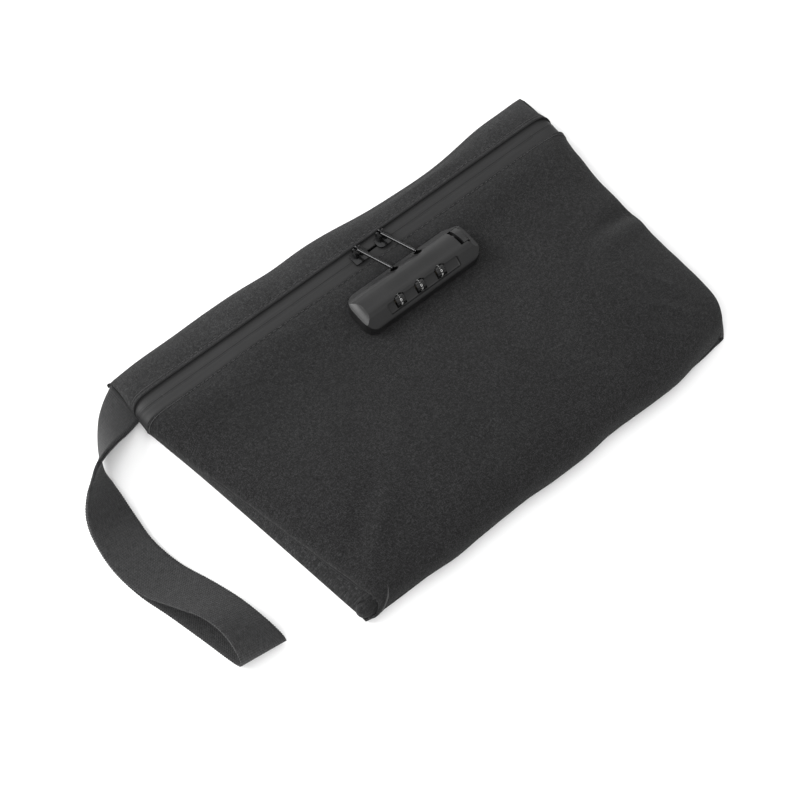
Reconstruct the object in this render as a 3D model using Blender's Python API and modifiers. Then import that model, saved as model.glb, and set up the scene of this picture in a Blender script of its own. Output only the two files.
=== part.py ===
"""Cash deposit bag: a flat zip pouch with a three-dial combination lock and a wrist strap.

The bag lies on its back panel. X runs along the zip, away from the strap, Y from the bottom
edge to the zip edge, and Z out of the front. Sizes below are in millimetres.
"""

import math

import bmesh
import bpy
from mathutils import Matrix, Vector

MM = 0.001

# Driving sizes of the bag
HALF_LENGTH = 140.0
FABRIC = 0.8
GAP = 0.3
BACK_TAPER_LEFT = 20.0
BACK_TAPER_RIGHT = 11.0
CORNER_ROUND = 7.0

# The zip runs straight along X
ZIP_Y = 64.0
ZIP_Z = 12.0
TAPE = 0.5
SLOT_HALF = 0.7
TAPE_WIDTH = 9.2
BAND_EDGE_Y = ZIP_Y + 6.5
PANEL_EDGE_Y = ZIP_Y - 6.5
ZIP_OUTER_Z = ZIP_Z + TAPE / 2 + GAP + FABRIC
CHAIN_HALF = 124.0
TAPE_LEVEL_HALF = 122.0
TAPE_HALF = HALF_LENGTH - 2.7

# The combination lock
LOCK_X = 14.0
LOCK_LENGTH = 75.0
LOCK_FRONT_Y = 20.5
LOCK_BACK_Y = 46.0
LOCK_BASE_Z = 16.5
LOCK_FLOOR = 1.2
LOCK_WALL = 1.3
DIAL_PITCH = 13.4
DIAL_RADIUS = 3.6
DIAL_WIDTH = 5.2
DIAL_Y = 26.9
DIAL_Z = 23.7
DIAL_X = LOCK_X - 1.2
SOCKET_Y = 42.4
PLATEAU_Z = LOCK_BASE_Z - GAP

# The sliders and their pulls
SLIDER_X = (3.9, 19.7)
SLIDER_LENGTH = 10.0
SLIDER_WIDTH = 7.6
PLATE = 1.1
PULL_AXIS_Y = 66.8
PULL_AXIS_Z = 17.0
ROD_RADIUS = 0.95
PULL_REACH = 25.8
PULL_RISE = math.radians(16.2)
PULL_LEAN = math.radians(11.0)

# The wrist strap
STRAP_WIDTH = 25.0
WEBBING = 1.1
LAYER_OFFSET = 0.75

BLACK = (0.012, 0.012, 0.013)


# ---------------------------------------------------------------- shared helpers


def start_scene():
    """An empty scene with one collection for the bag and one for the cutters."""
    for item in list(bpy.data.objects):
        bpy.data.objects.remove(item, do_unlink=True)
    made = []
    for name in ("cash_deposit_bag", "cutters"):
        collection = bpy.data.collections.new(name)
        bpy.context.scene.collection.children.link(collection)
        made.append(collection)
    return made


PARTS, CUTTERS = start_scene()


def move_to(item, collection):
    for home in list(item.users_collection):
        home.objects.unlink(item)
    collection.objects.link(item)


def finish(item, name, colour, roughness, metallic=0.0, smooth=True):
    """Name the piece, give it its own Principled material and shade it."""
    item.name = name
    item.data.name = name
    material = bpy.data.materials.new(name)
    material.use_nodes = True
    shader = material.node_tree.nodes["Principled BSDF"]
    shader.inputs["Base Color"].default_value = (*colour, 1.0)
    shader.inputs["Roughness"].default_value = roughness
    shader.inputs["Metallic"].default_value = metallic
    item.data.materials.clear()
    item.data.materials.append(material)
    if smooth and item.type == "MESH":
        for face in item.data.polygons:
            face.use_smooth = True
    move_to(item, PARTS)
    return item


def box(low, high):
    """A box between two corners, with its scale applied."""
    low, high = Vector(low), Vector(high)
    bpy.ops.mesh.primitive_cube_add(size=1, location=(low + high) / 2 * MM)
    item = bpy.context.object
    item.scale = (high - low) * MM
    bpy.ops.object.transform_apply(location=False, rotation=False, scale=True)
    return item


def rod(start, end, radius, sides=16):
    """A cylinder from one point to another."""
    start, end = Vector(start) * MM, Vector(end) * MM
    bpy.ops.mesh.primitive_cylinder_add(vertices=sides, radius=radius * MM, depth=(end - start).length)
    item = bpy.context.object
    item.location = (start + end) / 2
    item.rotation_euler = (end - start).to_track_quat("Z", "Y").to_euler()
    bpy.ops.object.transform_apply(location=False, rotation=True, scale=True)
    return item


def bevel(item, width, segments=2, angle=30.0):
    modifier = item.modifiers.new("Bevel", "BEVEL")
    modifier.width = width * MM
    modifier.segments = segments
    modifier.limit_method = "ANGLE"
    modifier.angle_limit = math.radians(angle)
    return item


def combine(item, other, operation):
    """A live exact Boolean, with the other piece kept out of sight."""
    modifier = item.modifiers.new(operation.title(), "BOOLEAN")
    modifier.operation = operation
    modifier.solver = "EXACT"
    modifier.object = other
    move_to(other, CUTTERS)
    other.hide_render = True
    other.display_type = "WIRE"
    return item


def cut(item, other):
    return combine(item, other, "DIFFERENCE")


def join(item, other):
    return combine(item, other, "UNION")


def extruded(outline, low_x, high_x):
    """A closed outline of (y, z) points drawn out along X."""
    curve = bpy.data.curves.new("outline", "CURVE")
    curve.dimensions = "2D"
    curve.fill_mode = "BOTH"
    curve.extrude = (high_x - low_x) / 2 * MM
    spline = curve.splines.new("POLY")
    spline.points.add(len(outline) - 1)
    for point, (y, z) in zip(spline.points, outline):
        point.co = (y * MM, z * MM, 0, 1)
    spline.use_cyclic_u = True
    drawn = bpy.data.objects.new("outline", curve)
    bpy.context.scene.collection.objects.link(drawn)
    # The drawing plane's X and Y become the object's Y and Z, and its depth lies along X
    turn = Matrix(((0, 0, 1, 0), (1, 0, 0, 0), (0, 1, 0, 0), (0, 0, 0, 1)))
    drawn.matrix_world = Matrix.Translation((((low_x + high_x) / 2) * MM, 0, 0)) @ turn
    return solid_from_curve(drawn)


def solid_from_curve(drawn):
    """The curve's own mesh as a new object, with the caps joined to the sides."""
    bpy.context.view_layer.update()
    graph = bpy.context.evaluated_depsgraph_get()
    mesh = bpy.data.meshes.new_from_object(drawn.evaluated_get(graph))
    item = bpy.data.objects.new("solid", mesh)
    bpy.context.scene.collection.objects.link(item)
    item.matrix_world = drawn.matrix_world.copy()
    bpy.data.objects.remove(drawn, do_unlink=True)
    shape = bmesh.new()
    shape.from_mesh(mesh)
    bmesh.ops.remove_doubles(shape, verts=shape.verts, dist=0.001 * MM)
    bmesh.ops.recalc_face_normals(shape, faces=shape.faces)
    shape.to_mesh(mesh)
    shape.free()
    return item


def smooth_curve(points, t):
    """A Catmull-Rom curve through the points, at t from 0 to 1."""
    spans = len(points) - 1
    place = min(max(t, 0.0), 1.0) * spans
    i = min(int(place), spans - 1)
    f = place - i
    a, b = points[max(i - 1, 0)], points[i]
    c, d = points[i + 1], points[min(i + 2, spans)]
    return [
        0.5 * (2 * q + (r - p) * f + (2 * p - 5 * q + 4 * r - s) * f * f + (3 * q - p - 3 * r + s) * f**3)
        for p, q, r, s in zip(a, b, c, d)
    ]


def sheet(surface, columns, rows, thickness, outward):
    """A cloth sheet: a grid bent to a surface and thickened away from its outer face.

    outward says that the bent grid's own normals already point out of the bag.
    """
    bpy.ops.mesh.primitive_grid_add(x_subdivisions=columns, y_subdivisions=rows, size=2)
    item = bpy.context.object
    for point in item.data.vertices:
        point.co = Vector(surface(point.co.x, (1 - point.co.y) / 2)) * MM
    modifier = item.modifiers.new("Solidify", "SOLIDIFY")
    modifier.thickness = thickness * MM
    modifier.offset = -1.0 if outward else 1.0
    modifier.use_even_offset = True
    return item


# ---------------------------------------------------------------- the sewn bag


def top_wave(x):
    """How far the soft top edge wanders along Y: drawn in beside the lock, full beside the strap."""
    drawn_in = -5.5 * math.exp(-(((x - 58) / 42) ** 2))
    full = 1.5 * math.exp(-(((x + 80) / 40) ** 2))
    return drawn_in + full


def across(s, left, right, centre, roundness):
    """A point across the bag: level in the middle, rolling down to the side seams."""
    u = math.sin(s * math.pi / 2)
    lift = math.sqrt(max(0.0, 1 - abs(u) ** roundness))
    x = left[0] + (right[0] - left[0]) * (u + 1) / 2
    side = left if s < 0 else right
    y = side[1] + (centre[0] - side[1]) * lift
    z = side[2] + (centre[1] - side[2]) * lift
    return x, y, z


# Centre line of the front panel as (y, z), and its two side seams as (x, y, z), top to bottom
FRONT_CENTRE = [
    (PANEL_EDGE_Y, ZIP_OUTER_Z), (47, PLATEAU_Z), (19, PLATEAU_Z), (-35, 23.5), (-72, 23.0),
    (-89, 16.5), (-94.5, 8.5), (-92, 3.2),
]
FRONT_LEFT = [
    (-140, 55, 5.6), (-137, 40, 6.4), (-131, 14, 8), (-120, -36, 9.6), (-112, -74, 11),
    (-108, -87, 11.5), (-111, -92.5, 7.5), (-117, -90.8, 3.2),
]
FRONT_RIGHT = [
    (140, 55, 5.6), (137, 38, 6.4), (134, 12, 8), (133, -38, 9.6), (132, -66, 11),
    (128, -79, 11.5), (122.5, -86, 8), (119.5, -88, 3.2),
]
# The same three lines of the top band, from the zip over the top edge and down to the back
BAND_CENTRE = [(BAND_EDGE_Y, ZIP_OUTER_Z), (77, 12.6), (84, 10.2), (89.5, 6.4), (91.5, 3.2), (89.6, 0.5), (84, 0), (79, 0)]
BAND_SIDE = [(66.5, 6.2), (73, 6.1), (81, 5.6), (87.5, 4.8), (91, 3.0), (89.5, 0.5), (84, 0), (79, 0)]


def front_surface(s, t):
    """The outer face of the front panel, from the zip (t = 0) round the bottom edge (t = 1)."""
    roundness = 4 + 34 * (1 - t) ** 6
    left = smooth_curve(FRONT_LEFT, t)
    right = smooth_curve(FRONT_RIGHT, t)
    return across(s, left, right, smooth_curve(FRONT_CENTRE, t), roundness)


def band_surface(s, t):
    """The outer face of the top band, from the zip (t = 0) round the top edge to the back."""
    y, z = smooth_curve(BAND_SIDE, t)
    half = HALF_LENGTH - 1.4 * math.sin(math.pi * min(t / 0.6, 1.0))
    x, y, z = across(s, (-half, y, z), (half, y, z), smooth_curve(BAND_CENTRE, t), 38)
    reach = min(max((y - 79) / 9, 0.0), 1.0)
    return x, y + top_wave(x) * reach, max(z, 0.0)


def back_surface(s, t):
    """The outer face of the back panel: flat, with its sides rolled up to the side seams."""
    top, bottom = 79 - GAP, front_surface(s, 1.0)[1] + 0.4
    y = top + (bottom - top) * t
    side = FRONT_LEFT if s < 0 else FRONT_RIGHT
    drop = min(max((side[0][1] - y) / (side[0][1] - side[-1][1]), 0.0), 1.0)
    seam = smooth_curve(side, seam_place(side, y))
    floor_x = math.copysign(HALF_LENGTH - (BACK_TAPER_LEFT if s < 0 else BACK_TAPER_RIGHT) * drop, s)
    flat_share = 0.88
    u = abs(s)
    floor_x -= math.copysign(CORNER_ROUND * max(0.0, (-78 - y) / 14.5) ** 2, s) * (s > 0)
    if u <= flat_share:
        return (floor_x - math.copysign(5.0, s)) * u / flat_share, y, 0.0
    f = (u - flat_share) / (1 - flat_share)
    height = seam[2] - FABRIC - GAP - 0.8
    near = floor_x - math.copysign(5.0, s)
    x = near * (1 - f) ** 2 + 2 * (floor_x + math.copysign(2.0 * drop, s)) * f * (1 - f) + seam[0] * f * f
    return x, y, height * f * f


def seam_place(side, y):
    """Where along the side seam a given y lies, from 0 at the zip to 1 at the bottom edge."""
    low, high = 0.0, 1.0
    for _ in range(30):
        middle = (low + high) / 2
        if smooth_curve(side, middle)[1] > y:
            low = middle
        else:
            high = middle
    return low


def inset(surface, depth, columns, rows):
    """A lining: the outer surface carried inward, and trimmed clear of the seams."""
    item = sheet(lambda s, t: surface(s * 0.9, 0.12 + 0.66 * t), columns, rows, 0.3, True)
    carry = item.modifiers.new("Carry inward", "DISPLACE")
    carry.mid_level = 0.0
    carry.strength = -depth * MM
    bpy.context.view_layer.objects.active = item
    bpy.ops.object.modifier_move_to_index(modifier="Carry inward", index=0)
    return item


def lock_screw_places():
    return [(LOCK_X - 31.5, 33.0), (LOCK_X + 31.5, 33.0)]


def screw_holes(item, radius):
    for x, y in lock_screw_places():
        cut(item, rod((x, y, 8), (x, y, LOCK_BASE_Z + 0.15), radius))
    return item


def front_panel():
    item = sheet(front_surface, 26, 22, FABRIC, True)
    screw_holes(item, 1.7)
    finish(item, "front_panel", (0.022, 0.022, 0.024), 0.85)


def top_band():
    item = sheet(band_surface, 26, 14, FABRIC, False)
    finish(item, "top_band", (0.03, 0.03, 0.033), 0.85)


def back_panel():
    bpy.ops.mesh.primitive_grid_add(x_subdivisions=28, y_subdivisions=10, size=2)
    item = bpy.context.object
    for point in item.data.vertices:
        point.co = Vector(back_surface(point.co.x, (1 - point.co.y) / 2)) * MM
    modifier = item.modifiers.new("Solidify", "SOLIDIFY")
    modifier.thickness = FABRIC * MM
    modifier.offset = 1.0
    finish(item, "back_panel", (0.022, 0.022, 0.024), 0.85)


def linings():
    front = inset(front_surface, FABRIC + 0.35, 16, 12)
    screw_holes(front, 1.7)
    finish(front, "lining_front", (0.02, 0.02, 0.021), 0.7)
    back = box((-104, -78, FABRIC + GAP), (104, 74, FABRIC + GAP + 0.3))
    finish(back, "lining_back", (0.02, 0.02, 0.021), 0.7, smooth=False)


# ---------------------------------------------------------------- the zip


def tape_drop(x):
    """The tape is straight between the end stops and dips into the side seams past them."""
    past = max(0.0, abs(x) - TAPE_LEVEL_HALF) / (TAPE_HALF - TAPE_LEVEL_HALF)
    return -5.2 * past * past


def zip_tape(name, side):
    inner = ZIP_Y + side * SLOT_HALF
    outer = ZIP_Y + side * TAPE_WIDTH
    low, high = min(inner, outer), max(inner, outer)

    def surface(s, t):
        x = math.sin(s * math.pi / 2) * TAPE_HALF
        return x, high + (low - high) * t, ZIP_Z + TAPE / 2 + tape_drop(x)

    item = sheet(surface, 30, 2, TAPE, True)
    finish(item, name, (0.015, 0.015, 0.016), 0.5)


def zip_coil(name, side):
    """One half of the reversed coil: a long rib with teeth, sewn to the back of its tape."""
    near = ZIP_Y + side * SLOT_HALF
    far = ZIP_Y + side * (SLOT_HALF + 1.6)
    top = ZIP_Z - TAPE / 2 - GAP
    item = box((-CHAIN_HALF + 4, min(near, far), top - 1.1), (CHAIN_HALF - 4, max(near, far), top))
    finish(item, name, BLACK, 0.45, smooth=False)


def zip_stop(name, x):
    """A metal stop under both tapes at the end of the chain."""
    top = ZIP_Z - TAPE / 2 - GAP
    item = box((x - 1.3, ZIP_Y - 3.0, top - 1.0), (x + 1.3, ZIP_Y + 3.0, top))
    bevel(item, 0.3)
    finish(item, name, BLACK, 0.35, 0.9, smooth=False)


def bridge_post_outline(foot):
    """The (y, z) outline of a post of the slider's bridge: a foot on the plate and a rounded head round the axis."""
    head = [
        (PULL_AXIS_Y + 0.9 * math.cos(math.radians(turn)), PULL_AXIS_Z + 0.9 * math.sin(math.radians(turn)))
        for turn in (0, 35, 70, 105, 140)
    ]
    return [(ZIP_Y - 0.6, foot), (PULL_AXIS_Y + 0.9, foot)] + head + [(ZIP_Y - 0.6, foot + 1.3)]


def slider(name, x, facing, roundness):
    """A zip slider: two plates on a thin neck, and a bridge across the top for the pull."""
    half = SLIDER_LENGTH / 2
    top_low = ZIP_Z + TAPE / 2 + GAP
    top_high = top_low + PLATE
    bottom_high = ZIP_Z - TAPE / 2 - GAP - 1.1 - GAP
    item = plan_block(x - half, x + half, ZIP_Y - SLIDER_WIDTH / 2, ZIP_Y + SLIDER_WIDTH / 2,
                      roundness, top_low, top_high)
    bevel(item, 0.35, 2)
    lower = box((x - half + 0.6, ZIP_Y - 2.8, bottom_high - 0.9), (x + half - 0.6, ZIP_Y + 2.8, bottom_high))
    join(item, lower)
    neck_x = x + facing * (half - 2.0)
    join(item, box((neck_x - 1.2, ZIP_Y - 0.4, bottom_high - 0.5), (neck_x + 1.2, ZIP_Y + 0.4, top_low + 0.5)))
    for end in (-1, 1):
        post_x = x + end * 1.9
        join(item, extruded(bridge_post_outline(top_high - 0.4), post_x - 0.5, post_x + 0.5))
    join(item, rod((x - 1.9, PULL_AXIS_Y, PULL_AXIS_Z), (x + 1.9, PULL_AXIS_Y, PULL_AXIS_Z), 0.55, 12))
    finish(item, name, BLACK, 0.28, 0.95, smooth=False)


def pull(name, x):
    """A round pull bar with an eye round the slider's bridge, made lying along -Y from its axis."""
    bpy.ops.mesh.primitive_torus_add(
        major_radius=1.4 * MM, minor_radius=0.5 * MM, major_segments=20, minor_segments=8,
        rotation=(0, math.pi / 2, 0),
    )
    item = bpy.context.object
    bpy.ops.object.transform_apply(rotation=True)
    bar = rod((0, -1.5, 0), (0, -PULL_REACH + 1.0, 0), ROD_RADIUS, 14)
    join(item, bar)
    tip = rod((0, -PULL_REACH + 1.2, 0), (0, -PULL_REACH, 0), ROD_RADIUS * 0.82, 14)
    join(item, tip)
    item.matrix_world = (
        Matrix.Translation(Vector((x, PULL_AXIS_Y, PULL_AXIS_Z)) * MM)
        @ Matrix.Rotation(PULL_LEAN, 4, "Z")
        @ Matrix.Rotation(-PULL_RISE, 4, "X")
    )
    for piece in (bar, tip):
        piece.matrix_world = item.matrix_world @ piece.matrix_basis
    finish(item, name, BLACK, 0.3, 0.9)


def zip_parts():
    zip_tape("zip_tape_upper", 1)
    zip_tape("zip_tape_lower", -1)
    zip_coil("zip_coil_upper", 1)
    zip_coil("zip_coil_lower", -1)
    zip_stop("zip_stop_left", -CHAIN_HALF + 1.5)
    zip_stop("zip_stop_right", CHAIN_HALF - 1.5)
    for side, x, facing, roundness in (("left", SLIDER_X[0], 1, 0.9), ("right", SLIDER_X[1], -1, 3.0)):
        slider(f"slider_{side}", x, facing, roundness)
        pull(f"pull_{side}", x)


# ---------------------------------------------------------------- the lock


LOCK_LEFT = LOCK_X - LOCK_LENGTH / 2
LOCK_RIGHT = LOCK_X + LOCK_LENGTH / 2

# The cover's outline as (y, z), from the front skirt over the dome to the socket ledge
COVER_OUTLINE = [
    (20.5, 16.5), (20.5, 21.4), (21.2, 22.3), (25.6, 27.0), (27.4, 28.2), (30.0, 28.7), (33.0, 28.5),
    (36.0, 27.5), (39.0, 25.8), (41.6, 23.5), (43.4, 21.3), (44.6, 20.2), (45.6, 19.4), (46.0, 18.4), (46.0, 16.5),
]


def dial_places():
    return [DIAL_X + (i - 1) * DIAL_PITCH for i in range(3)]


def shaft_post_places():
    return dial_places()[0] - 5.4, dial_places()[2] + 5.4


def plan_block(low_x, high_x, low_y, high_y, radius, low_z, high_z):
    """An upright block with rounded vertical corners."""
    item = box((low_x, low_y, low_z), (high_x, high_y, high_z))
    shape = bmesh.new()
    shape.from_mesh(item.data)
    upright = [e for e in shape.edges if abs(e.verts[0].co.x - e.verts[1].co.x) < 1e-9
               and abs(e.verts[0].co.y - e.verts[1].co.y) < 1e-9]
    bmesh.ops.bevel(shape, geom=upright, offset=radius * MM, segments=6, profile=0.5, affect="EDGES")
    shape.to_mesh(item.data)
    shape.free()
    return item


def button_box(grow=0.0):
    """The release tab's outline: the right end of the cover's crown."""
    low = (LOCK_RIGHT - 8.0 - grow, 29.0 - grow, 22.0)
    high = (LOCK_RIGHT - 2.4 + grow, 40.5 + grow, 40.0)
    return low, high


def lock_cover():
    item = extruded(COVER_OUTLINE, LOCK_LEFT, LOCK_RIGHT)
    combine(item, plan_block(LOCK_LEFT, LOCK_RIGHT, LOCK_FRONT_Y, LOCK_BACK_Y + 12, 6.0, 10, 40), "INTERSECT")
    combine(item, plan_block(LOCK_LEFT, LOCK_RIGHT, LOCK_FRONT_Y - 20, LOCK_BACK_Y, 10.5, 10, 40), "INTERSECT")
    # The ends of the crown roll down to the skirt
    for end, x in ((-1, LOCK_LEFT), (1, LOCK_RIGHT)):
        scoop = rod((x + end * 3.0, 10, 33.0), (x + end * 3.0, 60, 33.0), 8.6, 40)
        cut(item, scoop)
    # The hollow for the works, open at the bottom
    cut(item, box((LOCK_LEFT + 3.2, LOCK_FRONT_Y + LOCK_WALL, 10), (LOCK_RIGHT - 3.2, LOCK_BACK_Y - LOCK_WALL, 18.6)))
    cut(item, box((LOCK_LEFT + 8.0, 24.6, 12), (LOCK_RIGHT - 7.0, 34.0, 21.4)))
    cut(item, box((LOCK_LEFT + 8.0, 28.0, 12), (LOCK_RIGHT - 11.0, 40.0, 22.4)))
    # A shallow recess along the front edge, with one slot for each dial
    recess_low = dial_places()[0] - 8.2
    recess_high = dial_places()[2] + 11.6
    recess = box((recess_low, -3.1, -1.45), (recess_high, 3.1, 1.45))
    recess.location = Vector(((recess_low + recess_high) / 2, 23.9, 25.2)) * MM
    recess.rotation_euler = (math.radians(46), 0, 0)
    bevel(recess, 1.0, 4)
    cut(item, recess)
    tilt = math.radians(46)
    up_slope = Vector((0, math.cos(tilt), math.sin(tilt)))
    out_of_slope = Vector((0, -math.sin(tilt), math.cos(tilt)))
    for x in dial_places():
        foot = Vector((x, 23.9, 25.2)) + up_slope * 1.5 - out_of_slope * 1.4
        scallop = rod(foot, foot + out_of_slope * 5, 3.3, 28)
        cut(item, scallop)
    for x in dial_places():
        cut(item, rod((x - 3.1, DIAL_Y, DIAL_Z), (x + 3.1, DIAL_Y, DIAL_Z), DIAL_RADIUS + 0.45, 32))
    shaft_room = rod((dial_places()[0] - 7, DIAL_Y, DIAL_Z), (dial_places()[2] + 7, DIAL_Y, DIAL_Z), 1.4, 16)
    cut(item, shaft_room)
    for x in shaft_post_places():
        cut(item, box((x - 1.2, DIAL_Y - 1.3, 12), (x + 1.2, DIAL_Y + 1.8, DIAL_Z + 0.4)))
    # The sockets that the pulls drop into
    for x in socket_places():
        socket = rod((x, SOCKET_Y, 17.5), (x, SOCKET_Y, 30), 1.9, 24)
        socket.scale = (1.2, 1.0, 1.0)
        cut(item, socket)
    cut(item, box(*button_box(GAP)))
    # The latch's arm reaches up to the release tab through this slot
    cut(item, box((LOCK_RIGHT - 9.2, 36.8, 12), (LOCK_RIGHT - 5.1, 39.0, 23)))
    finish(item, "lock_cover", (0.02, 0.02, 0.021), 0.32, smooth=False)


def socket_places():
    """The sockets lie where the leaning pulls point."""
    run = (PULL_AXIS_Y - SOCKET_Y) * math.tan(PULL_LEAN)
    return [x + run + 0.9 for x in SLIDER_X]


def release_button():
    """The tab set in the cover's end, with a raised curved rim for the thumb."""
    low, high = button_box()
    item = extruded([(y, z - 0.1) for y, z in COVER_OUTLINE], LOCK_LEFT, LOCK_RIGHT)
    window = box((low[0] + 1.8, low[1], 22.9), (high[0], high[1], 40.0))
    combine(item, window, "INTERSECT")
    cut(item, rod((LOCK_RIGHT + 3.0, 10, 33.0), (LOCK_RIGHT + 3.0, 60, 33.0), 7.9, 40))
    finish(item, "release_button", (0.02, 0.02, 0.021), 0.3, smooth=False)


def lock_base():
    item = plan_block(LOCK_LEFT + 3.6, LOCK_RIGHT - 3.6, LOCK_FRONT_Y + LOCK_WALL + GAP, LOCK_BACK_Y - LOCK_WALL - GAP,
                      1.5, LOCK_BASE_Z, LOCK_BASE_Z + LOCK_FLOOR)
    for x, y in lock_screw_places():
        cut(item, rod((x, y, 12), (x, y, LOCK_BASE_Z + 2.5), 1.3))
    for x in shaft_post_places():
        post = box((x - 0.9, DIAL_Y - 1.0, LOCK_BASE_Z + 0.6), (x + 0.9, DIAL_Y + 1.5, DIAL_Z + 0.1))
        join(item, post)
        cut(item, rod((x - 3, DIAL_Y, DIAL_Z), (x + 3, DIAL_Y, DIAL_Z), 1.25, 16))
        cut(item, box((x - 3, DIAL_Y - 1.6, DIAL_Z - 0.2), (x + 3, DIAL_Y + 1.25, DIAL_Z + 4)))
    finish(item, "lock_base", (0.03, 0.03, 0.03), 0.5, 0.6, smooth=False)


def lock_backplate():
    item = plan_block(LOCK_X - 35, LOCK_X + 35, 24, 42, 3, 12.9, 14.1)
    for x, y in lock_screw_places():
        cut(item, rod((x, y, 10), (x, y, 20), 1.55))
    finish(item, "lock_backplate", (0.35, 0.35, 0.36), 0.4, 0.9, smooth=False)


def lock_screws():
    for side, (x, y) in zip(("left", "right"), lock_screw_places()):
        item = rod((x, y, 11.5), (x, y, 12.6), 2.4, 20)
        join(item, rod((x, y, 12.2), (x, y, LOCK_BASE_Z + 1.0), 1.0, 12))
        cut(item, box((x - 1.6, y - 0.3, 11.0), (x + 1.6, y + 0.3, 11.9)))
        finish(item, f"lock_screw_{side}", (0.5, 0.5, 0.5), 0.3, 1.0, smooth=False)


def dials():
    """Each dial is a ten-sided wheel with a finger notch at every figure, on a coded sleeve."""
    for number, x in enumerate(dial_places(), 1):
        item = rod((x - DIAL_WIDTH / 2, DIAL_Y, DIAL_Z), (x + DIAL_WIDTH / 2, DIAL_Y, DIAL_Z), DIAL_RADIUS, 40)
        bevel(item, 0.3, 1)
        for step in range(10):
            angle = math.radians(45 + 18 + 36 * step)
            y = DIAL_Y - math.cos(angle) * (DIAL_RADIUS + 0.35)
            z = DIAL_Z + math.sin(angle) * (DIAL_RADIUS + 0.35)
            cut(item, rod((x - 4, y, z), (x + 4, y, z), 0.65, 10))
        cut(item, rod((x - 5, DIAL_Y, DIAL_Z), (x + 5, DIAL_Y, DIAL_Z), 2.35, 20))
        finish(item, f"dial_{number}", BLACK, 0.35, smooth=False)
        sleeve = rod((x - 2.9, DIAL_Y, DIAL_Z), (x + 2.9, DIAL_Y, DIAL_Z), 2.05, 20)
        cut(sleeve, rod((x - 6, DIAL_Y, DIAL_Z), (x + 6, DIAL_Y, DIAL_Z), 1.35, 16))
        finish(sleeve, f"dial_sleeve_{number}", (0.6, 0.5, 0.25), 0.35, 0.9, smooth=False)


def dial_shaft():
    left = dial_places()[0] - 6.4
    right = dial_places()[2] + 6.4
    item = rod((left, DIAL_Y, DIAL_Z), (right, DIAL_Y, DIAL_Z), 1.0, 14)
    finish(item, "dial_shaft", (0.5, 0.5, 0.5), 0.3, 1.0, smooth=False)


def detent_spring():
    """A leaf spring behind the dials, with one finger pressing each of them."""
    low_z = LOCK_BASE_Z + LOCK_FLOOR + GAP
    item = box((dial_places()[0] - 4, 31.4, low_z), (dial_places()[2] + 4, 34.8, low_z + 0.4))
    for x in dial_places():
        join(item, box((x - 1.2, 31.4, low_z), (x + 1.2, 31.8, low_z + 3.2)))
    finish(item, "detent_spring", (0.55, 0.55, 0.55), 0.3, 1.0, smooth=False)


def latch():
    """The sliding latch under the sockets, with one nose for each pull's eye."""
    low_z = LOCK_BASE_Z + LOCK_FLOOR + GAP
    item = box((LOCK_X - 22, 37.2, low_z), (LOCK_RIGHT - 5.6, 38.6, low_z + 0.5))
    join(item, box((LOCK_RIGHT - 6.6, 37.2, low_z), (LOCK_RIGHT - 5.6, 38.6, 22.6)))
    finish(item, "latch_bar", (0.5, 0.5, 0.5), 0.35, 1.0, smooth=False)


def latch_spring():
    """The coil spring that pushes the latch and its release tab back."""
    turns, per_turn, radius, wire = 6, 10, 0.8, 0.2
    left, right = LOCK_X - 29.0, LOCK_X - 22.0 - GAP - 2 * wire
    curve = bpy.data.curves.new("latch_spring", "CURVE")
    curve.dimensions = "3D"
    curve.bevel_depth = wire * MM
    curve.bevel_resolution = 1
    curve.use_fill_caps = True
    spline = curve.splines.new("POLY")
    spline.points.add(turns * per_turn)
    for i, point in enumerate(spline.points):
        angle = 2 * math.pi * i / per_turn
        x = left + (right - left) * i / (turns * per_turn)
        y = 37.9 + radius * math.cos(angle)
        z = LOCK_BASE_Z + LOCK_FLOOR + GAP + radius + wire + radius * math.sin(angle)
        point.co = (x * MM, y * MM, z * MM, 1)
    drawn = bpy.data.objects.new("latch_spring", curve)
    bpy.context.scene.collection.objects.link(drawn)
    finish(solid_from_curve(drawn), "latch_spring", (0.5, 0.5, 0.5), 0.3, 1.0)


# ---------------------------------------------------------------- the wrist strap


# Stations of the doubled strap: x, y, z of its middle, how far its outer edge leans up,
# and the bearing of its outer edge in plan. It leaves the seam flat, makes half a turn, and lies down
STRAP_RUN = [
    (-141.4, 76.5, 2.4, 0, 90), (-148.5, 71.8, 5.6, -16, 88), (-157.0, 66.0, 8.8, -35, 85),
    (-166.0, 57.7, 11.6, -56, 76), (-172.8, 50.0, 12.6, -64, 50), (-177.4, 42.2, 11.4, -53, 18),
    (-181.4, 32.5, 8.2, -32, 2), (-183.6, 21, 5.4, -15, 0), (-184.3, 6, 3.6, -8, 3),
]
UPPER_RUN = [(-181, -12, 4.4, -8, 4), (-174, -31, 10.2, -20, 2), (-168.6, -47, 15.2, -30, -2),
             (-165.8, -62, 15.4, -28, -5)]
FOLD = [(-165.2, -72.6, 8.6, -12, -6), (-166.6, -69.5, 2.2, -1, -6)]
LOWER_RUN = [(-171.5, -48, 0.9, 0, -2), (-176.5, -28, 0.9, 0, 2), (-181.6, -10, 1.0, 0, 4)]


def strap_path():
    """The whole run: out along the upper layer, round the fold and back along the lower one."""
    out = [(*station, 1) for station in STRAP_RUN] + [(*station, 0) for station in UPPER_RUN + FOLD]
    back = [(*station, 0) for station in LOWER_RUN] + [(*station, -1) for station in reversed(STRAP_RUN)]
    return out + back


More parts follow.
